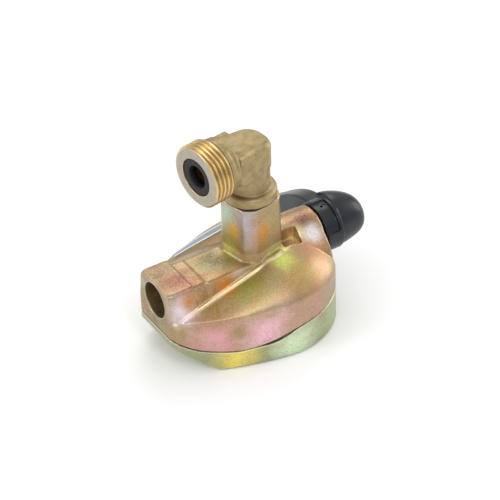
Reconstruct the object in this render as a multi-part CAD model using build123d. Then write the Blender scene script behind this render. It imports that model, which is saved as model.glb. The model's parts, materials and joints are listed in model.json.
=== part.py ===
from build123d import *
import math
import os

# A clip-on gas cylinder adaptor. All sizes in millimetres.
# Origin: axis of the valve socket on the bottom plane; +X to the side port, +Z up.

# clearances
clear = 0.05           # running clearance on a radius
touch = 0.02           # gap between pieces that are fixed together
cam_gap = 0.3          # gap between a cam and its follower
loose = 0.25           # room round sliding lugs and screw shanks

# valve socket, open downwards
socket_r = 13.7
roof_z = 12.5
seal_t = 1.4           # flat seal let into the roof
seal_edge = 0.25       # step between the socket wall and the seal recess

# lock plate round the socket
plate_z = 3.2
plate_t = 2.0
plate_ring = 3.5       # width of the ring
slide = 2.2            # its travel along +Y
lug_t = 1.6
plate_r = socket_r + plate_ring

# spindle, along X
axis_z = roof_z + 11.9
spindle_r = 2.5
spindle_tip = 10.2
turn = 90.0            # travel of the knob in degrees

# cams on the spindle
lift = 2.4             # travel of the plunger
lift_min = 3.0
lift_w = 3.0
lock_min = 2.9
lock_w = 2.5
lock_x1 = -socket_r - 1.3
lock_x0 = lock_x1 - lock_w
lock_mid = (lock_x0 + lock_x1) / 2
pin_r = 0.6
pin_half = spindle_r + 0.25

# neck that carries the spindle
neck_r = 8.0
cavity_r = 5.6
cavity_x = lock_x1 + 0.6
bush_x = lock_x0 - 0.8
bush_len = 3.7
bush_rim = 1.2
neck_x = bush_x - bush_len
clip_x = lock_x0 - 0.65
clip_t = 0.6
clip_r = 4.2
clip_deep = 0.5
ring_minor = 0.38      # spindle O-rings
ring_xs = (-12.4, -9.2)

# cast shell
shell_x = -3.0
shell_wall = 6.0       # from the lock plate to the outside
shell_r = plate_r + shell_wall
crease_z = axis_z - 5.0
face_x = 35.14         # side port face
face_half = 8.6
nose = (33.6, 11.2)    # widest point of the nose
back_x = neck_x + 0.4
spine_z = axis_z + 4.1
saddle_r = neck_r + 5.4  # fullness of the dome round the neck
saddle_drop = 7.0
far_y = -4.6            # where the spine starts to fall away on the label side
far_tilt = 30.0
split_gap = 0.3
split_dip = 1.1        # how far the joint opens near the middle of each side
ramp = [(22.5, 0), (28.8, 4.4), (32.5, 7.4), (36.7, 11.2), (39, 13.2)]

# side port
port_r = 5.84
port_z = axis_z - 2.3
port_depth = 9.0

# boss, an upright turret with four flats
boss_r = 9.0
boss_af = 15.4
boss_turn = 12.0
boss_z = 47.4
well_r = 6.2           # bore of the boss, which is also the cam chamber
well_z = axis_z - 4.4

# plunger and its screwed guide
shaft_r = 4.0
head_r = 5.7
head_t = 1.4
head_gap = 0.1
gas_r = 1.6
cross_r = 1.1
gland_r = 5.0
gland_z0 = roof_z + 0.5
gland_z1 = gland_z0 + 0.94
seat_z = roof_z + 1.9  # where the spring stands
guide_r = 7.0
flange_r = guide_r + 1.6
flange_z = roof_z + 2.1
wire_r = 0.3
spring_r = 5.1
spring_turns = 3.5
head_z1 = axis_z - lift_min - cam_gap
head_z0 = head_z1 - head_t
tip_z = roof_z + 0.1
tip_seal_r = 3.2
tip_seal_t = 1.0
face_ring = (guide_r + 0.7, 0.4, 0.55)   # O-ring on top of the flange: radius, thickness, groove half width

# screws under the lower casting
screw_r = 1.5
screw_top = 13.5
head_screw_r = 2.7
head_screw_z = 2.38
screw_circle = plate_r + 4.2
screw_angles = (26.6, -26.6, 141.0, -141.0)
screw_at = [(screw_circle * math.cos(math.radians(a)), screw_circle * math.sin(math.radians(a)))
            for a in screw_angles]

# knob
knob_x = neck_x - 0.9
spindle_end = knob_x - 10.1
knob_hub_r = 8.4
knob_step_x = knob_x - 5.8
grub_x = knob_x - 2.7
grub_r = 1.1
grub_top = 7.2
flat_h = 1.7           # height of the flat on the spindle's end

# elbow outlet
outlet_turn = 8.6
outlet_z = boss_z + 16.9
outlet_x = 20.55
thread_r = 10.0
root_r = 9.12
thread_pitch = 1.5
thread_turns = 4
thread_x = outlet_x - 6.75
leg_r = 6.4
elbow_bore = 3.6
seal_r = 6.12
seal_len = 2.83
seal_sink = 0.35
gasket_t = 0.4
collar_r = 8.37
spigot_len = 8.4
spigot_ring = (4.35, 0.5)      # depth below the boss, thickness

upright = (Align.CENTER, Align.CENTER, Align.MIN)


def at(x=0, y=0, z=0):
    return Location((x, y, z))


def disc(r, z0, z1, x=0, y=0):
    """Upright cylinder between two heights."""
    return at(x, y, z0) * Cylinder(r, z1 - z0, align=upright)


def bar(r, x0, x1, y=0, z=axis_z):
    """Cylinder along X between two stations."""
    body = Cylinder(r, x1 - x0, align=upright)
    return at(x0, y, z) * Rotation(0, 90, 0) * body


def block(x0, x1, y0, y1, z0, z1):
    return at((x0 + x1) / 2, (y0 + y1) / 2, (z0 + z1) / 2) * Box(x1 - x0, y1 - y0, z1 - z0)


def ring_x(major, minor, x, z=axis_z):
    """O-ring around the X axis."""
    return at(x, 0, z) * Rotation(0, 90, 0) * Torus(major, minor)


def ring_z(major, minor, z):
    return at(0, 0, z) * Torus(major, minor)


def closed(*curves):
    """Face bounded by curves given end to end."""
    edges = ShapeList()
    for curve in curves:
        edges += curve.edges()
    return make_face(edges)


def drop(r, tip_x, tip_y, z):
    """Teardrop section: round at the back, drawn in to the nose."""
    a = math.radians(80)
    j = (shell_x + r * math.cos(a), r * math.sin(a))
    t = (math.cos(math.radians(10)), -math.sin(math.radians(10)))
    side = TangentArc(j, (tip_x, tip_y), tangent=t)
    back = ThreePointArc(j, (shell_x - r, 0), (j[0], -j[1]))
    front = Line((tip_x, tip_y), (tip_x, -tip_y))
    return at(0, 0, z) * closed(back, side, front, side.mirror(Plane.XZ))


def dome(grow=0.0):
    """Cast roof above the crease, lofted through teardrop sections."""
    rows = [
        (0.0, 0.0, 11.2, 0.0),
        (1.1, 7.8, 8.6, 2.2),
        (3.9, 18.6, 8.2, 5.0),
        (8.3, 29.1, 8.2, 7.8),
        (13.0, 31.6, 7.4, 9.8),
    ]
    faces = []
    for shrink, back, half, rise in rows:
        z = crease_z + rise + grow
        faces.append(drop(shell_r - shrink + grow, nose[0] - back + grow, half + grow, z))
    return loft(faces)


def outline(z0, z1):
    """Vertical wall of the shell, with the blunt nose."""
    a = math.radians(80)
    j = (shell_x + shell_r * math.cos(a), shell_r * math.sin(a))
    t = (math.cos(math.radians(10)), -math.sin(math.radians(10)))
    side = TangentArc(j, nose, tangent=t)
    edge = Line(nose, (face_x, face_half))
    back = ThreePointArc(j, (shell_x - shell_r, 0), (j[0], -j[1]))
    front = Line((face_x, face_half), (face_x, -face_half))
    plan = closed(back, side, edge, front, edge.mirror(Plane.XZ), side.mirror(Plane.XZ))
    return extrude(at(0, 0, z0) * plan, z1 - z0, dir=(0, 0, 1))


def under(dip, drop_z):
    """Everything below the parting line; dip opens the joint near the middle."""
    pts = [
        (-40, 11.2), (-14, 11.1), (-8, 10.8), (-2, 10.1), (4.8, 7.9), (11.1, 6.6),
        (16, 6.2), (22.6, 7.1), (28.2, 8.5), (33, 11.1), (40, 15.2),
    ]
    pts = [(x, z - drop_z - dip * math.exp(-((x - 3.0) / 4.0) ** 2)) for x, z in pts]
    top = Spline(*[(x, 0, z) for x, z in pts])
    a, b = top @ 0, top @ 1
    low = Polyline(b, (b.X, 0, -20), (a.X, 0, -20), a)
    return extrude(closed(top, low), 60, dir=(0, 1, 0), both=True)


def hull_face(points):
    return make_face(Polyline(*points, close=True))


def sloped(base, base_z, top, top_z):
    """Ruled block between two plan outlines."""
    return loft([at(0, 0, base_z) * hull_face(base), at(0, 0, top_z) * hull_face(top)], ruled=True)


def side_six(x0, x1, x2, y1, y2):
    return [(x0, y1), (x1, y1), (x2, y2), (x2, -y2), (x1, -y1), (x0, -y1)]


def rounded(body, radius, z_min):
    """Round the long top edges of a block that runs along X."""
    edges = [e for e in body.edges() if e.center().Z > z_min and abs(e.tangent_at(0.5).X) > 0.9]
    return fillet(edges, radius)


def casting():
    """The whole outside of the cast shell as one solid, before it is split and bored."""
    base = crease_z - 2
    body = outline(0, crease_z) + dome()
    spine = sloped(side_six(-2, 21.0, 22.0, 10.6, 9.9), base, side_six(-2, 20.4, 21.6, 9.3, 8.6), spine_z)
    bridge = sloped(side_six(19, 25, 28, 10.4, 10.4), base, side_six(19, 25, 28, 8.6, 8.0), spine_z - 0.25)
    body += rounded(spine, 1.4, spine_z - 0.5) + rounded(bridge, 1.8, spine_z - 0.6) - far_slope()
    port = sloped(side_six(25.6, nose[0], face_x, nose[1] - 0.05, face_half - 0.03), crease_z - 1.5,
                  side_six(26.0, 33.4, face_x, 8.2, 7.8), spine_z)
    body += rounded(port, 1.4, spine_z - 0.5)
    body += boss()
    body += bar(neck_r, neck_x, 0) + bar(saddle_r, back_x, shell_x, 0, axis_z - saddle_drop)
    body -= nose_cut()
    body -= block(-60, back_x, -40, 40, -1, 60) - bar(neck_r, neck_x, 0)
    return body


def far_slope():
    """Wedge that eases the far edge of the spine down to the label."""
    cut = Rotation(far_tilt, 0, 0) * block(-3, 25.6, -30, 0, 0, 12)
    return at(0, far_y, spine_z) * cut


def boss():
    """Turret: a round with four flats, slightly tapered."""
    tall = boss_z - crease_z
    round_part = at(0, 0, crease_z) * Cone(boss_r + 0.3, boss_r, tall, align=upright)
    flats = at(0, 0, crease_z) * Box(boss_af, boss_af, tall, align=upright)
    foot = loft([at(0, 0, spine_z - 3.0) * Rectangle(boss_af + 4, boss_af + 4),
                 at(0, 0, spine_z + 2.5) * Rectangle(boss_af, boss_af)], ruled=True)
    foot &= at(0, 0, spine_z - 8.5) * Cone(boss_r + 1.8, boss_r + 0.1, 12, align=upright)
    return (round_part & Rotation(0, 0, boss_turn) * flats) + Rotation(0, 0, boss_turn) * foot


def pockets():
    """Cored recesses on both sides of the neck, which leave a web beside the turret."""
    one = block(cavity_x + 1.0, -7.2, 3.0, neck_r - 0.1, axis_z + 2.8, axis_z + neck_r + 1)
    return one + one.mirror(Plane.XZ)


def lock_room():
    """Space for the lock plate and its two lugs."""
    reach = plate_r + 0.4
    top = plate_z + plate_t + 0.2
    room = disc(reach, plate_z, top) + disc(reach, plate_z, top, 0, slide)
    return room + block(lock_x0 - 0.9, -12, -7.6, 7.6 + slide, plate_z, top)


def lug_slots():
    """Upright slots for the lugs of the lock plate, open into the neck."""
    y0 = lock_min + cam_gap - loose
    y1 = lock_min + slide + cam_gap + lug_t + loose
    x0, x1 = lock_x0 - loose, lock_x1 + loose
    one = block(x0, x1, y0, y1, plate_z + 1, axis_z + 2.4)
    return one + one.mirror(Plane.XZ)


def upper_body():
    body = casting() - under(0.0, 0.0)
    body -= pockets()
    body -= disc(socket_r, -1, roof_z)
    body -= disc(socket_r - seal_edge, roof_z - 1, roof_z + seal_t)
    body -= disc(flange_r + 0.15, roof_z - 1, flange_z)
    body -= disc(guide_r + touch, roof_z - 1, well_z)
    body -= disc(well_r, well_z - 1, boss_z + 1)
    body -= bar(port_r, face_x - port_depth, face_x + 1, 0, port_z)
    body -= bar(spindle_r + clear, neck_x - 1, spindle_tip + 0.3)
    body -= bar(cavity_r, neck_x - 1, cavity_x)
    body -= lock_room()
    body -= lug_slots()
    for x, y in screw_at:
        body -= disc(screw_r + touch, 0, screw_top + 1.5, x, y)
    return body


def lower_body():
    body = (outline(0, crease_z) & under(split_dip, split_gap)) - nose_cut()
    body -= block(-60, back_x, -40, 40, -1, 60)
    body -= disc(socket_r, -1, crease_z)
    body -= lock_room()
    body -= lug_slots()
    for x, y in screw_at:
        body -= disc(screw_r + loose, -1, crease_z, x, y)
        body -= disc(head_screw_r + 0.3, -1, head_screw_z + touch, x, y)
    return body


def nose_cut():
    """Underside of the nose, which rises towards the port face."""
    cut = make_face(Polyline(*[(x, 0, z) for x, z in ramp], (39, 0, -1), (22.5, 0, -1), close=True))
    return extrude(cut, 40, dir=(0, 1, 0), both=True)


def screws():
    """Four socket head screws that hold the two castings together."""
    out = []
    for x, y in screw_at:
        one = disc(head_screw_r, 0.3, head_screw_z, x, y) + disc(screw_r, head_screw_z, screw_top, x, y)
        out.append(one - at(x, y, 0.3) * extrude(RegularPolygon(1.3, 6), 1.2, both=True))
    return Compound(children=[p for one in out for p in one.solids()])


def plunger_guide():
    """Screwed bush in the roof of the socket, with the spring seat inside."""
    major, minor, half = face_ring
    body = disc(flange_r, roof_z + touch, flange_z - touch)
    body += disc(guide_r, flange_z - 0.5, well_z - touch)
    body -= disc(shaft_r + clear, roof_z - 1, well_z + 1)
    body -= disc(head_r + head_gap, seat_z, well_z + 1)
    body -= disc(gland_r, gland_z0, gland_z1)
    ring_z0 = flange_z - 2 * minor - 2 * touch
    body -= disc(major + half, ring_z0, flange_z) - disc(major - half, ring_z0, flange_z)
    key = block(-1, 1, guide_r - 0.6, flange_r + 1, roof_z - 1, roof_z + 0.7)
    return body - key - key.mirror(Plane.XZ)


def guide_o_ring():
    major, minor, half = face_ring
    return ring_z(major, minor, flange_z - minor - 1.5 * touch)


def socket_seal():
    ring = disc(socket_r - seal_edge - touch, roof_z + touch, roof_z + seal_t - touch)
    return ring - disc(flange_r + 0.3, 0, axis_z)


def plunger():
    """Hollow pin that opens the cylinder valve; the lift cam presses on its head."""
    body = disc(head_r, head_z0, head_z1) + disc(shaft_r, tip_z, head_z0)
    cross_z = head_z0 - cross_r - 0.2
    body -= disc(gas_r, roof_z - 1, cross_z + 0.4)
    body -= bar(cross_r, -shaft_r - 1, shaft_r + 1, 0, cross_z)
    return body - disc(tip_seal_r, roof_z - 1, tip_z + tip_seal_t)


def plunger_o_ring():
    minor = (gland_r - shaft_r) / 2 - 2 * touch
    return ring_z((gland_r + shaft_r) / 2, minor, (gland_z0 + gland_z1) / 2)


def tip_seal():
    """Soft washer in the end of the plunger."""
    return disc(tip_seal_r - touch, tip_z, tip_z + tip_seal_t - touch) - disc(gas_r, 0, axis_z)


def plunger_spring():
    z0 = seat_z + wire_r + touch
    tall = head_z0 - wire_r - touch - z0
    path = at(0, 0, z0) * Helix(tall / spring_turns, tall, spring_r)
    plane = Plane(origin=path @ 0, z_dir=path % 0)
    return sweep(plane * Circle(wire_r), path=path, is_frenet=True)


def cam(heights, x0, x1, hole):
    """Plate cam whose flat-follower height at each angle is heights(angle)."""
    step = 3
    lines = []
    for i in range(0, 360, step):
        a = math.radians(i)
        lines.append((math.cos(a), math.sin(a), heights(i)))
    poly = [(-12.0, -12.0), (12.0, -12.0), (12.0, 12.0), (-12.0, 12.0)]
    for nx, ny, h in lines:
        kept = []
        for (ax, ay), (bx, by) in zip(poly, poly[1:] + poly[:1]):
            da, db = ax * nx + ay * ny - h, bx * nx + by * ny - h
            if da <= 0:
                kept.append((ax, ay))
            if (da < 0 < db) or (db < 0 < da):
                t = da / (da - db)
                kept.append((ax + t * (bx - ax), ay + t * (by - ay)))
        poly = kept
    clean = [p for p, q in zip(poly, poly[1:] + poly[:1]) if math.dist(p, q) > 0.01]
    side = Plane(origin=(x0, 0, axis_z), x_dir=(0, 1, 0), z_dir=(1, 0, 0))
    plate = extrude(side * hull_face(clean), x1 - x0)
    return plate - bar(hole, x0 - 1, x1 + 1)


def lift_height(i):
    """Support height of the lift cam: constant lead from below to +Y."""
    i = i % 360
    if i >= 270:
        return lift_min + lift * (i - 270) / turn
    if i < 60:
        return lift_min + lift * (1 - i / 60.0)
    return lift_min


def lock_height(i):
    """Support height of the lock cam: equal breadth, so both lugs stay in touch."""
    i = i % 360
    if i <= 90:
        return lock_min + slide * i / turn
    if i <= 180:
        return lock_min + slide
    if i <= 270:
        return lock_min + slide * (270 - i) / turn
    return lock_min


def lift_cam():
    return cam(lift_height, -lift_w / 2, lift_w / 2, spindle_r + touch) - pin_hole(0, touch)


def lock_cam():
    return cam(lock_height, lock_x0, lock_x1, spindle_r + touch) - pin_hole(lock_mid, touch)


def pin_hole(x, grow):
    return disc(pin_r + grow, axis_z - pin_half - grow, axis_z + pin_half + grow, x, 0)


def cam_pins():
    return Compound(children=[pin_hole(0, 0), pin_hole(lock_mid, 0)])


def groove_x(x0, x1, deep):
    return bar(spindle_r + 1, x0, x1) - bar(spindle_r - deep, x0 - 1, x1 + 1)


def spindle():
    body = bar(spindle_r, spindle_end, spindle_tip)
    for x in ring_xs:
        body -= groove_x(x - 0.5, x + 0.5, 2 * ring_minor)
    body -= groove_x(clip_x, clip_x + clip_t, clip_deep)
    body -= block(spindle_end - 1, knob_step_x, -3, 3, axis_z + flat_h, axis_z + 4)
    return body - pin_hole(0, touch) - pin_hole(lock_mid, touch)


def spindle_o_rings():
    major = spindle_r + clear - touch - ring_minor
    return Compound(children=[ring_x(major, ring_minor, x) for x in ring_xs])


def retaining_clip():
    body = bar(clip_r, clip_x + 0.03, clip_x + clip_t - 0.03)
    body -= bar(spindle_r - clip_deep + touch, clip_x - 1, clip_x + 1)
    return body - block(clip_x - 1, clip_x + 1, -1.2, 1.2, axis_z, axis_z + 6)


def spindle_bush():
    """Screwed bush that closes the neck and carries the spindle."""
    body = bar(cavity_r - touch, neck_x - 0.4, bush_x)
    body += bar(cavity_r + bush_rim, neck_x - 0.5, neck_x - touch)
    return body - bar(spindle_r + clear, neck_x - 2, bush_x + 1)


def lock_plate():
    """Sliding ring that catches the groove of the valve, with two lugs round its cam."""
    z0, z1 = plate_z + 0.08, plate_z + plate_t
    body = disc(plate_r, z0, z1) + block(lock_x0 - 0.5, -12, -7, 7, z0, z1)
    body -= disc(socket_r + 0.2, 0, roof_z)
    y = lock_min + cam_gap
    for y0 in (y, -y - slide - lug_t):
        body += block(lock_x0, lock_x1, y0, y0 + lug_t, z0, axis_z + 2.1)
    return body


def knob():
    """Rounded hub with a lever; a tab recess on the hub shows the grub screw."""
    rows = [
        (5.7, 8.9, 1.4), (8.4, 8.6, 1.3), (11.4, 7.7, 0.9),
        (14.0, 6.4, 0.4), (15.7, 4.7, 0.1), (16.6, 2.4, 0),
    ]
    cap = loft([at(knob_x - x, -off, axis_z) * Rotation(0, -90, 0) * Circle(r) for x, r, off in rows])
    hub = bar(knob_hub_r, knob_step_x, knob_x)
    hub = fillet(hub.edges().filter_by(GeomType.CIRCLE).sort_by(Axis.X)[-1:], 0.5)
    body = cap + hub + at(0, 0, axis_z) * lever()
    body -= tab_recess()
    body -= bar(spindle_r + touch, spindle_end, 0)
    body += block(spindle_end, knob_step_x, -2.4, 2.4, axis_z + flat_h + touch, axis_z + 3)
    return body - disc(grub_r + touch, axis_z, axis_z + 12, grub_x, 0)


def tab_recess():
    """Shallow step in the hub under the cap, between the lever and the front."""
    band = bar(knob_hub_r + 4, knob_x - 4.6, knob_x + 1) - bar(knob_hub_r - 0.9, knob_x - 6, knob_x + 2)
    wedge = hull_face([(0, 0), (-3.5, 14), (8, 16), (15, 4)])
    sector = extrude(Plane(origin=(knob_x - 5, 0, axis_z), x_dir=(0, 1, 0), z_dir=(1, 0, 0)) * wedge, 7)
    return band & sector


def lever():
    """Lever that hangs down along -Y, drawn about the spindle axis."""
    top = Spline((4.0, 6.2), (-7.4, 6.0), (-14.4, 3.4), (-20.4, -0.4), (-29.6, -7.6))
    tip = ThreePointArc((-29.6, -7.6), (-30.6, -10.4), (-28.2, -12.6))
    low = Spline((-28.2, -12.6), (-22.6, -9.4), (-16, -6.6), (-9, -5.8), (0, -6.4))
    back = Line((0, -6.4), (4.0, 6.2))
    plane = Plane(origin=(knob_x - 7.0, 0, 0), x_dir=(0, 1, 0), z_dir=(1, 0, 0))
    body = extrude(plane * closed(top, tip, low, back), 6.0)
    edges = [e for e in body.edges() if abs(e.tangent_at(0.5).X) < 0.1 and e.center().Y < -3]
    return fillet(edges, 0.7)


def grub_screw():
    body = disc(grub_r, axis_z + spindle_r + touch, axis_z + grub_top, grub_x, 0)
    return body - at(grub_x, 0, axis_z + grub_top) * extrude(RegularPolygon(0.6, 6), 1.5, both=True)


def turned(shape):
    """From the outlet's own frame (along +X) to the part's frame."""
    return Rotation(0, 0, outlet_turn) * shape


def elbow():
    """Forged elbow: spigot, collar, bend with a flat pad, shoulder and thread."""
    low = boss_z + gasket_t
    body = disc(collar_r, low, low + 3.4)
    body = fillet(body.edges().filter_by(GeomType.CIRCLE).sort_by(Axis.Z)[-1:], 1.4)
    body += disc(leg_r, low + 2, outlet_z)
    body += disc(well_r - clear, boss_z - spigot_len, low + 1)
    body += turned(bend())
    shoulder = bar(8.7, 9.6, 12.9, 0, outlet_z)
    body += turned(fillet(shoulder.edges().filter_by(GeomType.CIRCLE), 0.8))
    body += turned(bar(root_r - 0.2, 12, outlet_x, 0, outlet_z))
    body += turned(thread())
    body -= disc(elbow_bore, boss_z - spigot_len - 1, outlet_z)
    body -= turned(bar(elbow_bore, -elbow_bore, outlet_x + 1, 0, outlet_z))
    body -= turned(bar(seal_r + touch, outlet_x - seal_sink - seal_len - touch, outlet_x + 1, 0, outlet_z))
    depth, minor = spigot_ring
    z = boss_z - depth
    return body - (disc(well_r + 1, z - 0.65, z + 0.65) - disc(well_r - 1.1, z - 1, z + 1))


def bend():
    """Block of the bend in the outlet's own frame, lower and rounder at its heel."""
    body = block(-leg_r, 9.8, -leg_r, leg_r, outlet_z - 6.6, outlet_z + 9)
    body = fillet(body.edges().filter_by(Axis.Z).sort_by(Axis.X)[:2], 5.4)
    lid = at(0, 0, outlet_z + 4.4) * Rotation(0, -9.5, 0) * Box(60, 60, 20, align=upright)
    body -= lid
    body = fillet([e for e in body.edges() if e.center().Z > outlet_z + 3 and e.length > 4.5
                   and abs(e.tangent_at(0.5).Z) < 0.5 and e.center().X < 9.5], 2.6)
    body = fillet([e for e in body.edges() if abs(e.center().Z - outlet_z + 6.6) < 0.1], 1.6)
    pad = block(2.6, 9.2, -leg_r - 1.1, leg_r + 1.1, outlet_z - 5.6, outlet_z + 4.4)
    return body + fillet(pad.edges().filter_by(Axis.Y), 0.6)


def thread():
    """Thread shown as rings at the true pitch and diameters, with a chamfered lead."""
    pts = [(thread_x, 7), (thread_x, root_r - 0.02)]
    for i in range(thread_turns):
        x = thread_x + i * thread_pitch
        pts += [(x, root_r), (x + 0.52, thread_r), (x + 0.86, thread_r), (x + 1.38, root_r)]
    pts += [(outlet_x - 0.7, root_r), (outlet_x - 0.45, thread_r), (outlet_x - 0.3, thread_r)]
    pts += [(outlet_x, thread_r - 0.45), (outlet_x, 7)]
    plane = Plane(origin=(0, 0, outlet_z), x_dir=(1, 0, 0), z_dir=(0, -1, 0))
    return revolve(plane * hull_face(pts), axis=Axis((0, 0, outlet_z), (1, 0, 0)))


def outlet_seal():
    x1 = outlet_x - seal_sink
    ring = bar(seal_r, x1 - seal_len, x1, 0, outlet_z)
    return turned(ring - bar(elbow_bore + 0.04, x1 - 5, x1 + 1, 0, outlet_z))


def elbow_gasket():
    return disc(collar_r - 0.17, boss_z, boss_z + gasket_t) - disc(well_r + 0.2, boss_z - 1, boss_z + 1)


def spigot_o_ring():
    depth, minor = spigot_ring
    return ring_z(well_r - touch - minor, minor, boss_z - depth)


def rating_label():
    """Blank foil strip that follows the slope of the dome."""
    strip = Rotation(0, 0, -12.5) * block(-13, 13, -1.95, 1.95, crease_z - 4, crease_z + 20)
    strip = at(5.5, -14.6, 0) * strip
    return (dome(0.14) & strip) - dome()


def save(name, shape):
    solids = shape.solids()
    shape = Compound(children=list(solids)) if len(solids) > 1 else solids[0]
    export_step(shape, os.path.join("parts", name + ".step"))
    print(name, len(solids), round(shape.volume, 1), shape.is_valid)


os.makedirs("parts", exist_ok=True)
pieces = {
    "upper_body": upper_body,
    "lower_body": lower_body,
    "body_screws": screws,
    "plunger_guide": plunger_guide,
    "guide_o_ring": guide_o_ring,
    "socket_seal": socket_seal,
    "plunger": plunger,
    "plunger_o_ring": plunger_o_ring,
    "tip_seal": tip_seal,
    "plunger_spring": plunger_spring,
    "spindle": spindle,
    "spindle_bush": spindle_bush,
    "spindle_o_rings": spindle_o_rings,
    "retaining_clip": retaining_clip,
    "lift_cam": lift_cam,
    "lock_cam": lock_cam,
    "cam_pins": cam_pins,
    "lock_plate": lock_plate,
    "control_knob": knob,
    "grub_screw": grub_screw,
    "outlet_elbow": elbow,
    "outlet_seal": outlet_seal,
    "elbow_gasket": elbow_gasket,
    "spigot_o_ring": spigot_o_ring,
    "rating_label": rating_label,
}
for name, make in pieces.items():
    save(name, make())
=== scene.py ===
import bpy
import bmesh
import json
import math
from mathutils import Vector, Matrix


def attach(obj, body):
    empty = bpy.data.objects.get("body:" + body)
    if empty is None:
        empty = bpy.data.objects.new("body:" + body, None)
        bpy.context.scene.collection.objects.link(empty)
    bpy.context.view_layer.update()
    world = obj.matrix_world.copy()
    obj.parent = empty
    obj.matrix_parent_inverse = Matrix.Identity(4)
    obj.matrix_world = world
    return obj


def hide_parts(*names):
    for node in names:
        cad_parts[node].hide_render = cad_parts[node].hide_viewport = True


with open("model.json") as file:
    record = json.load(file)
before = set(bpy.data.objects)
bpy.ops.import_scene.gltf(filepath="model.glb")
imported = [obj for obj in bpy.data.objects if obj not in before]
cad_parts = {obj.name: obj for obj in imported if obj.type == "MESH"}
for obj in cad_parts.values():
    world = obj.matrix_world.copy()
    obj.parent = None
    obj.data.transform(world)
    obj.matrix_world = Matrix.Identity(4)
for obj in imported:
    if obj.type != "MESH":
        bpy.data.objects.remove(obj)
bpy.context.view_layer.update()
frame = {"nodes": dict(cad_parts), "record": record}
mm = 0.001
scene = bpy.context.scene
scene.view_settings.view_transform = "Standard"
print("frame loaded:", len(frame["nodes"]), "CAD nodes")

cameraView = {  # degrees, mm
    "turn": 31.0,
    "height": 38.5,
    "roll": -2.0,
    "far": 900.0,
    "aim": (-1.13, -3.01, 23.37),
    "lens": 210.0,
}


def makeCamera(v):
    a, e = math.radians(v["turn"]), math.radians(v["height"])
    back = Vector((math.sin(a) * math.cos(e), math.cos(a) * math.cos(e), math.sin(e)))
    data = bpy.data.cameras.new("studioCamera")
    data.lens = v["lens"]
    data.sensor_width = 36.0
    data.clip_end = 20.0
    cam = bpy.data.objects.new("studioCamera", data)
    scene.collection.objects.link(cam)
    cam.rotation_mode = "QUATERNION"
    look = (-back).to_track_quat("-Z", "Y")
    roll = Matrix.Rotation(math.radians(v["roll"]), 4, "Z").to_quaternion()
    cam.rotation_quaternion = look @ roll
    cam.location = (Vector(v["aim"]) + back * v["far"]) * mm
    scene.camera = cam


studio = {
    "floor": (0.95, 0.95, 0.95),
    "horizon": 0.50,
    "zenith": 1.00,
    "lamps": [  # name, place (m), size (m), power (W)
        ("topSoftbox", (-0.34, -0.52, 0.62), 0.50, 1.5),
        ("leftSoftbox", (0.62, -0.12, 0.34), 0.30, 1.3),
        ("frontSoftbox", (0.10, 0.62, 0.62), 0.24, 1.1),
        ("backSoftbox", (-0.62, 0.06, 0.20), 0.34, 1.1),
    ],
}


def makeStudio(s):
    world = bpy.data.worlds.new("studioWorld")
    scene.world = world
    world.use_nodes = True
    tree = world.node_tree
    up = tree.nodes.new("ShaderNodeSeparateXYZ")
    tree.links.new(tree.nodes.new("ShaderNodeTexCoord").outputs["Generated"], up.inputs[0])
    sky = tree.nodes.new("ShaderNodeMapRange")
    tree.links.new(up.outputs["Z"], sky.inputs["Value"])
    sky.inputs["To Min"].default_value = s["horizon"]
    sky.inputs["To Max"].default_value = s["zenith"]
    tree.links.new(sky.outputs["Result"], tree.nodes["Background"].inputs["Strength"])
    tree.nodes["Background"].inputs["Color"].default_value = (1, 1, 1, 1)
    mesh = bpy.data.meshes.new("floor")
    half = 3.0
    corners = [(-half, -half, 0), (half, -half, 0), (half, half, 0), (-half, half, 0)]
    mesh.from_pydata(corners, [], [(0, 1, 2, 3)])
    floor = bpy.data.objects.new("floor", mesh)
    floor.location.z = -0.0004
    scene.collection.objects.link(floor)
    mat = bpy.data.materials.new("paleFloor")
    mat.use_nodes = True
    bsdf = mat.node_tree.nodes["Principled BSDF"]
    bsdf.inputs["Base Color"].default_value = (*s["floor"], 1)
    bsdf.inputs["Roughness"].default_value = 0.9
    mesh.materials.append(mat)
    for name, place, size, power in s["lamps"]:
        data = bpy.data.lights.new(name, "AREA")
        data.shape = "DISK"
        data.size = size
        data.energy = power
        lamp = bpy.data.objects.new(name, data)
        lamp.location = place
        lamp.rotation_mode = "QUATERNION"
        lamp.rotation_quaternion = (Vector((0, 0, 0.03)) - Vector(place)).to_track_quat("-Z", "Y")
        scene.collection.objects.link(lamp)


makeCamera(cameraView)
makeStudio(studio)
print("studio ready")


def addNode(tree, kind, **settings):
    node = tree.nodes.new(kind)
    for key, value in settings.items():
        setattr(node, key, value)
    return node


def join(tree, source, target):
    tree.links.new(source, target)


def mathNode(tree, operation, a, b=None, clamp=False):
    node = addNode(tree, "ShaderNodeMath", operation=operation, use_clamp=clamp)
    for socket, value in zip(node.inputs, (a, b)):
        if value is None:
            continue
        if isinstance(value, (int, float)):
            socket.default_value = value
        else:
            join(tree, value, socket)
    return node.outputs[0]


def mixColor(tree, mask, a, b, blend="MIX"):
    node = addNode(tree, "ShaderNodeMix", data_type="RGBA", blend_type=blend)
    for socket, value in ((node.inputs["Factor"], mask), (node.inputs[6], a), (node.inputs[7], b)):
        if isinstance(value, (int, float)):
            socket.default_value = value
        elif isinstance(value, tuple):
            socket.default_value = (*value, 1)
        else:
            join(tree, value, socket)
    return node.outputs[2]


def blend(tree, mask, amount, a, b):
    return mixColor(tree, mathNode(tree, "MULTIPLY", mask, amount), a, b)


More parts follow.
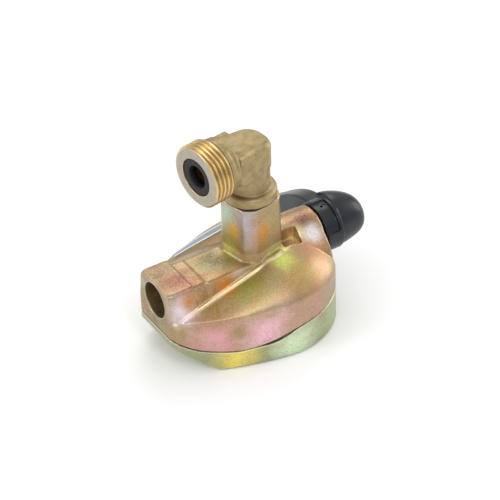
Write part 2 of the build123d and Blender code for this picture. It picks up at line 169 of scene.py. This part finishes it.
def ramp(tree, value, stops, mode="EASE"):
    node = addNode(tree, "ShaderNodeValToRGB")
    node.color_ramp.interpolation = mode
    while len(node.color_ramp.elements) < len(stops):
        node.color_ramp.elements.new(0.5)
    for element, (place, color) in zip(node.color_ramp.elements, stops):
        element.position = place
        element.color = (*color, 1) if isinstance(color, tuple) else (color, color, color, 1)
    join(tree, value, node.inputs["Fac"])
    return node.outputs["Color"]


def noise(tree, where, scale, detail=4.0, rough=0.5, distort=0.0):
    node = addNode(tree, "ShaderNodeTexNoise")
    join(tree, where, node.inputs["Vector"])
    if isinstance(scale, (int, float)):
        node.inputs["Scale"].default_value = scale
    else:
        join(tree, scale, node.inputs["Scale"])
    node.inputs["Detail"].default_value = detail
    node.inputs["Roughness"].default_value = rough
    node.inputs["Distortion"].default_value = distort
    return node.outputs["Fac"]


def newGroup(name, inputs, outputs):
    tree = bpy.data.node_groups.new(name, "ShaderNodeTree")
    for label, value in inputs:
        kind = "NodeSocketColor" if isinstance(value, tuple) else "NodeSocketFloat"
        socket = tree.interface.new_socket(name=label, in_out="INPUT", socket_type=kind)
        socket.default_value = (*value, 1) if isinstance(value, tuple) else value
    for label, kind in outputs:
        tree.interface.new_socket(name=label, in_out="OUTPUT", socket_type=kind)
    return tree, addNode(tree, "NodeGroupInput"), addNode(tree, "NodeGroupOutput")


def useGroup(tree, group, **values):
    node = addNode(tree, "ShaderNodeGroup", node_tree=group)
    for key, value in values.items():
        node.inputs[key].default_value = (*value, 1) if isinstance(value, tuple) else value
    return node


def makeCastGrain():
    inputs = [("Grain Scale", 2600.0), ("Wave Scale", 220.0), ("Wave Amount", 0.5)]
    outputs = [("Height", "NodeSocketFloat"), ("Speckle", "NodeSocketFloat")]
    tree, src, out = newGroup("castGrain", inputs, outputs)
    where = addNode(tree, "ShaderNodeTexCoord").outputs["Object"]
    fine = noise(tree, where, src.outputs["Grain Scale"], 3.0, 0.6)
    wave = noise(tree, where, src.outputs["Wave Scale"], 2.0, 0.5)
    height = mathNode(tree, "ADD", fine, mathNode(tree, "MULTIPLY", wave, src.outputs["Wave Amount"]))
    join(tree, height, out.inputs["Height"])
    join(tree, mathNode(tree, "POWER", fine, 3.0), out.inputs["Speckle"])
    return tree


def makeConvexEdges():
    inputs = [("Width", 0.0005), ("Strength", 6.0)]
    tree, src, out = newGroup("convexEdges", inputs, [("Mask", "NodeSocketFloat")])
    geo = addNode(tree, "ShaderNodeNewGeometry")
    bevel = addNode(tree, "ShaderNodeBevel", samples=6)
    join(tree, src.outputs["Width"], bevel.inputs["Radius"])
    dot = addNode(tree, "ShaderNodeVectorMath", operation="DOT_PRODUCT")
    join(tree, geo.outputs["Normal"], dot.inputs[0])
    join(tree, bevel.outputs["Normal"], dot.inputs[1])
    loss = mathNode(tree, "SUBTRACT", 1.0, dot.outputs["Value"])
    convex = ramp(tree, geo.outputs["Pointiness"], [(0.50, 0.0), (0.53, 1.0)], "LINEAR")
    loss = mathNode(tree, "MULTIPLY", loss, src.outputs["Strength"])
    mask = mathNode(tree, "MULTIPLY", loss, convex, clamp=True)
    join(tree, mask, out.inputs["Mask"])
    return tree


def makeSoftPatch():
    # mask round one point, with a ragged rim that fades to nothing at its radius
    inputs = [("X", 0.0), ("Y", 0.0), ("Z", 0.0), ("Radius", 0.01), ("Ragged", 0.7)]
    tree, src, out = newGroup("softPatch", inputs, [("Mask", "NodeSocketFloat")])
    where = addNode(tree, "ShaderNodeTexCoord").outputs["Object"]
    center = addNode(tree, "ShaderNodeCombineXYZ")
    for label in "XYZ":
        join(tree, src.outputs[label], center.inputs[label])
    gap = addNode(tree, "ShaderNodeVectorMath", operation="DISTANCE")
    join(tree, where, gap.inputs[0])
    join(tree, center.outputs[0], gap.inputs[1])
    wobble = mathNode(tree, "SUBTRACT", noise(tree, where, 260.0, 4.0, 0.6), 0.5)
    reach = mathNode(tree, "MULTIPLY", src.outputs["Radius"], src.outputs["Ragged"])
    wobble = mathNode(tree, "MULTIPLY", wobble, reach)
    fade = addNode(tree, "ShaderNodeMapRange", interpolation_type="SMOOTHSTEP")
    join(tree, mathNode(tree, "ADD", gap.outputs["Value"], wobble), fade.inputs["Value"])
    join(tree, src.outputs["Radius"], fade.inputs["From Max"])
    fade.inputs["From Min"].default_value = 0.0
    fade.inputs["To Min"].default_value = 1.0
    fade.inputs["To Max"].default_value = 0.0
    join(tree, fade.outputs["Result"], out.inputs["Mask"])
    return tree


def makeLineMask():
    # mask along a straight bead that runs along X and drops at a steady slope; the zinc paints a highlight
    # along the ridge bead with it
    inputs = [("Slope", -0.28), ("Start", 0.0285), ("Side", 0.0103), ("Radius", 0.001)]
    tree, src, out = newGroup("lineMask", inputs, [("Mask", "NodeSocketFloat")])
    place = addNode(tree, "ShaderNodeSeparateXYZ")
    join(tree, addNode(tree, "ShaderNodeTexCoord").outputs["Object"], place.inputs[0])
    level = mathNode(tree, "MULTIPLY", place.outputs["X"], src.outputs["Slope"])
    level = mathNode(tree, "ADD", level, src.outputs["Start"])
    over = mathNode(tree, "POWER", mathNode(tree, "SUBTRACT", place.outputs["Z"], level), 2.0)
    aside = mathNode(tree, "POWER", mathNode(tree, "SUBTRACT", place.outputs["Y"], src.outputs["Side"]), 2.0)
    gap = mathNode(tree, "SQRT", mathNode(tree, "ADD", over, aside))
    fade = addNode(tree, "ShaderNodeMapRange", interpolation_type="SMOOTHSTEP")
    join(tree, gap, fade.inputs["Value"])
    join(tree, mathNode(tree, "MULTIPLY", src.outputs["Radius"], 0.5), fade.inputs["From Min"])
    join(tree, src.outputs["Radius"], fade.inputs["From Max"])
    fade.inputs["To Min"].default_value = 1.0
    fade.inputs["To Max"].default_value = 0.0
    join(tree, fade.outputs["Result"], out.inputs["Mask"])
    return tree


def makeClouds():
    # two sets of drifting clouds for the colour play of the chromate film
    tree, src, out = newGroup("filmClouds", [("Scale", 75.0), ("Warm", 0.4), ("Cool", 0.3)],
                              [("Warm Mask", "NodeSocketFloat"), ("Cool Mask", "NodeSocketFloat")])
    where = addNode(tree, "ShaderNodeTexCoord").outputs["Object"]
    for label, shift in (("Warm", 0.0), ("Cool", 0.37)):
        moved = addNode(tree, "ShaderNodeVectorMath", operation="ADD")
        join(tree, where, moved.inputs[0])
        moved.inputs[1].default_value = (shift, shift, 0)
        cloud = noise(tree, moved.outputs[0], src.outputs["Scale"], 4.0, 0.55, 0.7)
        cloud = ramp(tree, cloud, [(0.42, 0.0), (0.68, 1.0)])
        join(tree, mathNode(tree, "MULTIPLY", cloud, src.outputs[label]), out.inputs[label + " Mask"])
    return tree


def makeSmudge():
    inputs = [("Scale", 90.0), ("Low", 0.3), ("High", 0.5)]
    tree, src, out = newGroup("smudge", inputs, [("Roughness", "NodeSocketFloat")])
    where = addNode(tree, "ShaderNodeTexCoord").outputs["Object"]
    value = noise(tree, where, src.outputs["Scale"], 5.0, 0.6, 0.4)
    span = mathNode(tree, "SUBTRACT", src.outputs["High"], src.outputs["Low"])
    rise = mathNode(tree, "MULTIPLY", value, span)
    join(tree, mathNode(tree, "ADD", src.outputs["Low"], rise), out.inputs["Roughness"])
    return tree


castGrain = makeCastGrain()
convexEdges = makeConvexEdges()
softPatch = makeSoftPatch()
lineMask = makeLineMask()
filmClouds = makeClouds()
smudge = makeSmudge()


def newMaterial(name):
    mat = bpy.data.materials.new(name)
    mat.use_nodes = True
    tree = mat.node_tree
    return mat, tree, tree.nodes["Principled BSDF"]


def bump(tree, height, strength, distance, shader):
    node = addNode(tree, "ShaderNodeBump")
    node.inputs["Strength"].default_value = strength
    node.inputs["Distance"].default_value = distance
    join(tree, height, node.inputs["Height"])
    join(tree, node.outputs["Normal"], shader.inputs["Normal"])


zincTones = {
    "warmCloud": (0.46, 0.23, 0.12),
    "coolCloud": (0.34, 0.38, 0.20),
    "speck": (0.70, 0.42, 0.28),
    "pit": (0.16, 0.10, 0.04),
    "pitAmount": 0.45,
    # light edge tone: painted highlight along the convex edges and creases of the zinc
    "edge": (0.88, 0.84, 0.76),
    "edgeHighlightAmount": 0.85,
    # cream tone along the ridge bead: painted highlight
    "beadHighlight": (0.90, 0.76, 0.48),
    "beadHighlightAmount": 0.7,
}


def makeZinc(name, f):
    mat, tree, shader = newMaterial(name)
    where = addNode(tree, "ShaderNodeTexCoord").outputs["Object"]
    color = f["base"]
    # each patch mixes its tint in: the film's colour play together with painted highlights and painted shade
    for x, y, z, radius, tint in f["filmAndPaintedLight"].values():
        patch = useGroup(tree, softPatch, X=x * mm, Y=y * mm, Z=z * mm, Radius=radius * mm)
        color = mixColor(tree, patch.outputs["Mask"], color, tint)
    clouds = useGroup(tree, filmClouds, Scale=f["clouds"], Warm=f["warm"], Cool=f["cool"])
    color = mixColor(tree, clouds.outputs["Warm Mask"], color, zincTones["warmCloud"])
    color = mixColor(tree, clouds.outputs["Cool Mask"], color, zincTones["coolCloud"])
    body = useGroup(tree, castGrain, **{"Grain Scale": f["grain"]})
    # convex edge mask; on the zinc it carries a painted highlight along edges and creases
    edgeMask = useGroup(tree, convexEdges, Width=0.0008, Strength=11.0)
    rough = useGroup(tree, smudge, Scale=110.0, Low=f["rough"][0], High=f["rough"][1])
    specks = noise(tree, where, f["grain"] * 0.8, 2.0, 0.7)
    specks = ramp(tree, specks, [(0.52, 0.0), (0.66, 1.0)], "LINEAR")
    color = blend(tree, specks, f["specks"], color, zincTones["speck"])
    pits = ramp(tree, body.outputs["Speckle"], [(0.03, 1.0), (0.10, 0.0)], "LINEAR")
    color = blend(tree, pits, zincTones["pitAmount"], color, zincTones["pit"])
    color = blend(tree, edgeMask.outputs["Mask"], zincTones["edgeHighlightAmount"], color, zincTones["edge"])
    # painted highlight along the ridge bead
    beadHighlight = useGroup(tree, lineMask, Radius=f["beadHighlight"] * mm)
    color = blend(tree, beadHighlight.outputs["Mask"], zincTones["beadHighlightAmount"], color, zincTones["beadHighlight"])
    join(tree, color, shader.inputs["Base Color"])
    join(tree, rough.outputs["Roughness"], shader.inputs["Roughness"])
    shader.inputs["Metallic"].default_value = f["metal"]
    bump(tree, body.outputs["Height"], f["bump"], 0.0002, shader)
    return mat


brassFinishes = {
    "forgedBrass": {"color": (0.40, 0.315, 0.165), "dark": (0.30, 0.225, 0.105),
                    "rough": (0.42, 0.54), "grain": 2600.0, "bump": 0.5},
    "cutBrass": {"color": (0.66, 0.49, 0.24), "dark": (0.58, 0.41, 0.18),
                 "rough": (0.24, 0.36), "grain": 900.0, "bump": 0.03},
    # flat front face: a darker, greyer copy of the cut brass, partly the turned face's own tone and partly
    # painted shade that holds down the light the face catches
    "faceBrass": {"color": (0.40, 0.375, 0.30), "dark": (0.36, 0.33, 0.25),
                  "rough": (0.34, 0.46), "grain": 1500.0, "bump": 0.03},
}
brassEdge = (0.95, 0.80, 0.52)


def makeBrass(name, f):
    mat, tree, shader = newMaterial(name)
    body = useGroup(tree, castGrain, **{"Grain Scale": f["grain"], "Wave Scale": 160.0, "Wave Amount": 0.4})
    edgeMask = useGroup(tree, convexEdges, Width=0.0005, Strength=4.0)
    rough = useGroup(tree, smudge, Scale=140.0, Low=f["rough"][0], High=f["rough"][1])
    where = addNode(tree, "ShaderNodeTexCoord").outputs["Object"]
    stain = ramp(tree, noise(tree, where, 420.0, 5.0, 0.6, 0.3), [(0.35, 0.0), (0.7, 1.0)])
    tone = mixColor(tree, stain, f["color"], f["dark"])
    tone = blend(tree, edgeMask.outputs["Mask"], 0.6, tone, brassEdge)
    join(tree, tone, shader.inputs["Base Color"])
    join(tree, rough.outputs["Roughness"], shader.inputs["Roughness"])
    shader.inputs["Metallic"].default_value = 1.0
    bump(tree, body.outputs["Height"], f["bump"], 0.0002, shader)
    return mat


plainFinishes = {
    "blackPlastic": {"color": (0.007, 0.010, 0.014), "second": (0.011, 0.015, 0.020), "rough": (0.28, 0.38),
                     "metal": 0.0, "grain": 2400.0, "bump": 0.10, "specular": 0.40},
    "blackRubber": {"color": (0.012, 0.012, 0.013), "second": (0.022, 0.022, 0.022), "rough": (0.55, 0.75),
                    "metal": 0.0, "grain": 1800.0, "bump": 0.15, "specular": 0.3},
    "platedSteel": {"color": (0.58, 0.58, 0.60), "second": (0.48, 0.48, 0.50), "rough": (0.25, 0.4),
                    "metal": 1.0, "grain": 1500.0, "bump": 0.05, "specular": 0.5},
    "springSteel": {"color": (0.46, 0.46, 0.48), "second": (0.38, 0.38, 0.40), "rough": (0.25, 0.35),
                    "metal": 1.0, "grain": 1200.0, "bump": 0.05, "specular": 0.5},
    "darkSteel": {"color": (0.05, 0.05, 0.055), "second": (0.08, 0.08, 0.085), "rough": (0.30, 0.45),
                  "metal": 1.0, "grain": 1500.0, "bump": 0.05, "specular": 0.5},
}


def makePlain(name, f):
    mat, tree, shader = newMaterial(name)
    body = useGroup(tree, castGrain, **{"Grain Scale": f["grain"], "Wave Scale": 300.0, "Wave Amount": 0.3})
    rough = useGroup(tree, smudge, Scale=160.0, Low=f["rough"][0], High=f["rough"][1])
    where = addNode(tree, "ShaderNodeTexCoord").outputs["Object"]
    tone = mixColor(tree, noise(tree, where, 200.0, 4.0), f["color"], f["second"])
    join(tree, tone, shader.inputs["Base Color"])
    join(tree, rough.outputs["Roughness"], shader.inputs["Roughness"])
    shader.inputs["Metallic"].default_value = f["metal"]
    shader.inputs["Specular IOR Level"].default_value = f["specular"]
    bump(tree, body.outputs["Height"], f["bump"], 0.0001, shader)
    return mat


label = {
    "turn": -12.5,
    "center": (5.5, -14.6),
    "border": 1.35,
    "paper": (0.26, 0.31, 0.37),
    "paperLight": (0.34, 0.40, 0.45),
    "edge": (0.80, 0.83, 0.84),
}


def makeLabel():
    mat, tree, shader = newMaterial("labelFoil")
    where = addNode(tree, "ShaderNodeTexCoord").outputs["Object"]
    turn = math.radians(label["turn"])
    across = Vector((-math.sin(turn), math.cos(turn), 0))
    reach = addNode(tree, "ShaderNodeVectorMath", operation="DOT_PRODUCT")
    join(tree, where, reach.inputs[0])
    reach.inputs[1].default_value = across
    offset = across.dot(Vector((*label["center"], 0))) * mm
    aside = mathNode(tree, "ABSOLUTE", mathNode(tree, "SUBTRACT", reach.outputs["Value"], offset))
    rim = mathNode(tree, "GREATER_THAN", aside, label["border"] * mm)
    paper = mixColor(tree, noise(tree, where, 400.0, 3.0), label["paper"], label["paperLight"])
    join(tree, mixColor(tree, rim, paper, label["edge"]), shader.inputs["Base Color"])
    rough = useGroup(tree, smudge, Scale=200.0, Low=0.35, High=0.5)
    join(tree, rough.outputs["Roughness"], shader.inputs["Roughness"])
    shader.inputs["Metallic"].default_value = 0.2
    grain = useGroup(tree, castGrain, **{"Grain Scale": 2600.0, "Wave Amount": 0.2})
    bump(tree, grain.outputs["Height"], 0.05, 0.0001, shader)
    return mat


upperZinc = {
    "base": (0.38, 0.27, 0.13),
    "clouds": 120.0,
    "warm": 0.42,
    "cool": 0.40,
    "grain": 2600.0,
    "specks": 0.45,
    "bump": 0.32,
    "rough": (0.30, 0.46),
    "metal": 0.85,
    "beadHighlight": 0.9,
    "filmAndPaintedLight": {  # place, radius (mm), tint; the tints hold the chromate film's colour play together with painted light and shade for this one camera view
        "wallRight": (-10.0, 21.0, 14.0, 19.0, (0.52, 0.29, 0.24)),
        "wallMid": (9.0, 21.5, 11.0, 16.0, (0.85, 0.52, 0.60)),
        "wallLeft": (24.0, 16.0, 12.0, 13.0, (0.79, 0.39, 0.46)),
        "wallCloud": (17.0, 19.0, 14.0, 5.0, (0.34, 0.28, 0.12)),
        "flankMid": (10.0, 14.0, 23.0, 12.0, (0.36, 0.33, 0.059)),
        "flankLow": (22.0, 12.5, 20.5, 9.0, (0.36, 0.16, 0.013)),
        "flankRight": (-6.0, 17.0, 24.0, 10.0, (0.53, 0.33, 0.085)),
        # painted highlight on the top of the flank
        "flankTopHighlight": (-4.0, 11.5, 28.5, 6.5, (0.69, 0.87, 0.16)),
        "domeBack": (-15.0, 8.0, 27.0, 10.0, (0.58, 0.29, 0.16)),
        # dark tint: painted shade that holds down the top light's reflection on the port's top
        "portTopShade": (28.0, 3.0, 28.6, 9.0, (0.19, 0.064, 0.063)),
        "portLeft": (31.0, -5.0, 28.6, 7.0, (0.11, 0.12, 0.089)),
        "portSide": (31.0, 10.0, 23.0, 8.0, (0.90, 0.79, 0.90)),
        # near-black tint: painted shade that holds down the reflection on the spine's top
        "spineTopShade": (15.0, 0.0, 28.6, 9.0, (0.089, 0.087, 0.038)),
        "spineBrown": (22.0, 4.0, 28.5, 5.0, (0.3, 0.16, 0.075)),
        "spineEdge": (11.0, 8.5, 28.0, 4.5, (0.62, 0.44, 0.36)),
        "spineSide": (16.0, 9.8, 25.5, 5.5, (0.72, 0.23, 0.018)),
        "bossLeft": (9.0, -1.5, 42.0, 11.0, (0.44, 0.63, 0.52)),
        "bossGold": (8.6, 3.5, 37.0, 7.5, (0.90, 0.54, 0.010)),
        "bossRight": (1.0, 8.8, 38.0, 7.5, (0.65, 0.30, 0.053)),
        "bandTop": (5.6, 6.4, 45.0, 5.0, (0.49, 0.50, 0.61)),
        "bandMid": (5.6, 6.4, 40.5, 5.0, (0.49, 0.49, 0.59)),
        "bandLow": (5.6, 6.4, 36.0, 5.0, (0.48, 0.47, 0.51)),
        "neckTop": (-17.0, 2.0, 32.0, 7.0, (0.16, 0.068, 0.052)),
        # near-black tint: painted shade that holds down the reflection on the port's face
        "portFaceShade": (35.8, 0.0, 21.0, 12.0, (0.012, 0.022, 0.010)),
        "portSideLow": (28.0, 9.5, 24.5, 5.0, (0.68, 0.23, 0.030)),
        "bossLow": (8.3, 0.5, 31.5, 5.0, (0.69, 0.68, 0.10)),
        "portRim": (35.3, -6.8, 25.0, 3.5, (0.40, 0.44, 0.40)),
        "wallBack": (-21.0, 14.0, 12.0, 8.0, (0.32, 0.23, 0.16)),
        "pocket": (-13.5, 4.5, 28.5, 5.0, (0.90, 0.77, 0.41)),
        # painted highlight on the side of the neck
        "neckSideHighlight": (-18.0, 6.5, 28.5, 5.0, (0.90, 0.90, 0.90)),
    },
}
lowerZinc = {
    "base": (0.36, 0.39, 0.22),
    "clouds": 80.0,
    "warm": 0.12,
    "cool": 0.15,
    "grain": 2600.0,
    "specks": 0.12,
    "bump": 0.22,
    "rough": (0.32, 0.48),
    "metal": 0.85,
    "beadHighlight": 0.01,
    # tints of the film's colour play, with painted light and shade for this one camera view
    "filmAndPaintedLight": {
        "ringLeft": (18.0, 19.0, 4.0, 11.0, (0.90, 0.76, 0.16)),
        "ringMid": (-1.0, 23.0, 4.0, 12.0, (0.71, 0.87, 0.61)),
        "ringRight": (-16.0, 16.0, 5.0, 10.0, (0.50, 0.60, 0.34)),
    },
}
finish = {"upperZinc": makeZinc("upperZinc", upperZinc), "lowerZinc": makeZinc("lowerZinc", lowerZinc)}
for name, f in brassFinishes.items():
    finish[name] = makeBrass(name, f)
for name, f in plainFinishes.items():
    finish[name] = makePlain(name, f)
finish["labelFoil"] = makeLabel()
print("finishes ready:", len(finish))


def liveMesh(obj):
    graph = bpy.context.evaluated_depsgraph_get()
    return bpy.data.meshes.new_from_object(obj.evaluated_get(graph))


def place(name, mesh, body, slot, mat, replaced=()):
    obj = bpy.data.objects.new(name, mesh)
    scene.collection.objects.link(obj)
    mesh.materials.clear()
    mesh.materials.append(mat)
    for poly in mesh.polygons:
        poly.use_smooth = True
        poly.material_index = 0
    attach(obj, body)
    if replaced:
        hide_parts(*replaced)
    return obj


def softCopy(name, node, voxel, rounds, cut=None, extra=None):
    # a copy of the CAD solid with rounded edges, as a casting or moulding has them
    mesh = frame["nodes"][node].data.copy()
    work = bpy.data.objects.new(name + "Work", mesh)
    scene.collection.objects.link(work)
    bm = bmesh.new()
    bm.from_mesh(mesh)
    bmesh.ops.remove_doubles(bm, verts=bm.verts, dist=1e-7)
    if cut:
        point, normal = cut
        everything = bm.verts[:] + bm.edges[:] + bm.faces[:]
        result = bmesh.ops.bisect_plane(bm, geom=everything, plane_co=point, plane_no=normal,
                                        clear_outer=True)
        edges = [g for g in result["geom_cut"] if isinstance(g, bmesh.types.BMEdge)]
        bmesh.ops.triangle_fill(bm, edges=edges, use_beauty=True)
    if extra:
        extra(bm)
    bm.to_mesh(mesh)
    bm.free()
    remesh = work.modifiers.new("remesh", "REMESH")
    remesh.mode = "VOXEL"
    remesh.voxel_size = voxel * mm
    smooth = work.modifiers.new("smooth", "SMOOTH")
    smooth.factor = 0.5
    smooth.iterations = rounds
    result = liveMesh(work)
    bpy.data.objects.remove(work)
    return result


ridge = {  # bead where the flank of the dome meets the side of the spine
    "route": [(33.2, 10.9, 19.2), (25.3, 10.35, 21.3), (14.3, 10.2, 24.4), (3.5, 10.2, 27.5),
              (-5.0, 9.0, 29.3)],
    "radius": 0.62,
    "sides": 10,
    "steps": 40,
}


def addRidge(bm):
    points = [Vector(p) for p in ridge["route"]]
    rings = []
    for k in range(ridge["steps"] + 1):
        t = k / ridge["steps"] * (len(points) - 1)
        i = min(int(t), len(points) - 2)
        center = points[i].lerp(points[i + 1], t - i)
        ring = []
        for j in range(ridge["sides"]):
            a = 2 * math.pi * j / ridge["sides"]
            around = Vector((0, math.cos(a), math.sin(a))) * ridge["radius"]
            ring.append(bm.verts.new((center + around) * mm))
        rings.append(ring)
    for a, b in zip(rings, rings[1:]):
        for j in range(ridge["sides"]):
            n = (j + 1) % ridge["sides"]
            bm.faces.new((a[j], a[n], b[n], b[j]))
    bm.faces.new(rings[0])
    bm.faces.new(list(reversed(rings[-1])))


castings = {"voxel": 0.26, "rounds": 10}
for name, node, mat, extra in (("upperCasting", "upper_body", "upperZinc", addRidge),
                               ("lowerCasting", "lower_body", "lowerZinc", None)):
    mesh = softCopy(name, node, castings["voxel"], castings["rounds"], extra=extra)
    place(name, mesh, "housing", "zinc_passivated", finish[mat], [node])
    print(name, len(mesh.vertices))

outlet = {  # mm along or out from the outlet's axis
    "turn": 8.6,
    "height": 64.3,
    "face": 20.55,
    "cut": 13.3,
    "start": 13.6,
    "crest": 9.98,
    "root": 9.06,
    "pitch": 1.5,
    "rim": 9.45,
    "seat": 6.14,
    "seatDepth": 3.2,
    "sealHole": 3.64,
    "neck": 8.6,
    "steps": 116,
}


def outletPoint(along, out, angle):
    g = math.radians(outlet["turn"])
    ax = Vector((math.cos(g), math.sin(g), 0))
    side = Vector((-math.sin(g), math.cos(g), 0))
    p = ax * along + side * (out * math.cos(angle)) + Vector((0, 0, 1)) * (out * math.sin(angle))
    return (p + Vector((0, 0, outlet["height"]))) * mm


def ringMesh(name, rows, turns=160):
    bm = bmesh.new()
    grid = []
    for row in rows:
        ring = []
        for i in range(turns):
            angle = 2 * math.pi * i / turns
            ring.append(bm.verts.new(outletPoint(*row(angle), angle)))
        grid.append(ring)
    for j in range(len(grid)):
        a, b = grid[j], grid[(j + 1) % len(grid)]
        for i in range(turns):
            bm.faces.new((a[i], a[(i + 1) % turns], b[(i + 1) % turns], b[i]))
    bmesh.ops.recalc_face_normals(bm, faces=bm.faces)
    mesh = bpy.data.meshes.new(name)
    bm.to_mesh(mesh)
    bm.free()
    return mesh


def threadRadius(along, angle):
    o = outlet
    phase = ((along - o["start"]) / o["pitch"] - angle / (2 * math.pi)) % 1.0
    rise = 1 - abs(phase - 0.5) * 2  # 0 in the root, 1 at the crest
    rise = min(max((rise - 0.14) / 0.72, 0.0), 1.0)
    rise = rise * rise * (3 - 2 * rise) * 0.35 + rise * 0.65
    r = o["root"] + (o["crest"] - o["root"]) * rise
    lead = o["face"] - along
    r = min(r, o["rim"] + lead * 1.3)
    runOut = (along - o["start"]) / 0.9
    return min(r, o["root"] - 0.1 + runOut * 1.2)


def makeThread():
    o = outlet
    first, face, rim, seat = o["cut"] - 0.05, o["face"], o["rim"], o["seat"]
    neck = [(first, seat), (first, o["neck"]), (first + 0.1, o["neck"] + 0.1)]
    front = [(face - 0.01, rim - 0.06), (face, rim - 0.14), (face, 7.5), (face, seat + 0.14),
             (face - 0.04, seat + 0.04), (face - 0.14, seat), (face - 1.5, seat)]
    rows = [lambda a, p=p: p for p in neck]
    for k in range(o["steps"] + 1):
        along = o["start"] + (face - 0.06 - o["start"]) * k / o["steps"]
        rows.append(lambda a, along=along: (along, threadRadius(along, a)))
    rows += [lambda a, p=p: p for p in front]
    return ringMesh("outletThread", rows)


def makeSeal():
    o = outlet
    outer, inner = o["seat"] - 0.03, o["sealHole"]
    back, front = o["face"] - o["seatDepth"] + 0.02, o["face"] - 0.32
    path = [(back, inner), (back, outer), (front - 0.25, outer), (front - 0.08, outer - 0.1),
            (front, outer - 0.35), (front + 0.05, (outer + inner) / 2), (front, inner + 0.3),
            (front - 0.1, inner + 0.08), (front - 0.3, inner)]
    return ringMesh("outletSeal", [lambda a, p=p: p for p in path], 96)


gasket = {"radius": 7.35, "halfWidth": 0.86, "height": 47.6, "halfHeight": 0.2, "rows": 12, "turns": 96}


def makeGasket():
    bm = bmesh.new()
    rows, turns = gasket["rows"], gasket["turns"]
    grid = []
    for j in range(rows):
        b = 2 * math.pi * j / rows
        out = gasket["radius"] + gasket["halfWidth"] * math.cos(b)
        up = gasket["height"] + gasket["halfHeight"] * math.sin(b)
        ring = []
        for i in range(turns):
            a = 2 * math.pi * i / turns
            ring.append(bm.verts.new(Vector((out * math.cos(a), out * math.sin(a), up)) * mm))
        grid.append(ring)
    for j in range(rows):
        low, high = grid[j], grid[(j + 1) % rows]
        for i in range(turns):
            n = (i + 1) % turns
            bm.faces.new((low[i], low[n], high[n], high[i]))
    bmesh.ops.recalc_face_normals(bm, faces=bm.faces)
    mesh = bpy.data.meshes.new("elbowGasket")
    bm.to_mesh(mesh)
    bm.free()
    return mesh


forging = {"voxel": 0.2, "rounds": 9}
g = math.radians(outlet["turn"])
elbowCut = (outletPoint(outlet["cut"], 0, 0), Vector((math.cos(g), math.sin(g), 0)))
mesh = softCopy("elbowForging", "outlet_elbow", forging["voxel"], forging["rounds"], elbowCut)
place("elbowForging", mesh, "housing", "brass_forged", finish["forgedBrass"], ["outlet_elbow"])
thread = place("outletThread", makeThread(), "housing", "brass_forged", finish["cutBrass"])
# the front face gets the darker brass copy, partly its own tone and partly painted shade
thread.data.materials.append(finish["faceBrass"])
for poly in thread.data.polygons:
    flat = (poly.center - outletPoint(outlet["face"], 0, 0)).dot(elbowCut[1])
    if abs(flat) < 0.02 * mm and abs(poly.normal.dot(elbowCut[1])) > 0.9:
        poly.material_index = 1
place("outletSeal", makeSeal(), "housing", "rubber_black", finish["blackRubber"], ["outlet_seal"])
place("elbowGasket", makeGasket(), "housing", "rubber_black", finish["blackRubber"], ["elbow_gasket"])
print("outlet ready")

lever = {"voxel": 0.18, "rounds": 9}
mesh = softCopy("leverKnob", "control_knob", lever["voxel"], lever["rounds"])
place("leverKnob", mesh, "knob_shaft", "plastic_black", finish["blackPlastic"], ["control_knob"])
print("knob ready")

# CAD nodes that keep their own shape
kept = {
    "zinc_passivated": "upperZinc",
    "brass_forged": "forgedBrass",
    "brass_turned": "cutBrass",
    "plastic_black": "blackPlastic",
    "rubber_black": "blackRubber",
    "steel_plated": "platedSteel",
    "steel_spring": "springSteel",
    "label_foil": "labelFoil",
}
slotOf = {s["node"]: s["material_slot"] for s in frame["record"]["subparts"]}
for name, obj in frame["nodes"].items():
    mat = finish["darkSteel" if name == "grub_screw" else kept[slotOf[name]]]
    if not obj.material_slots:
        obj.data.materials.append(mat)
    for spot in obj.material_slots:
        spot.material = mat
print("pieces ready")
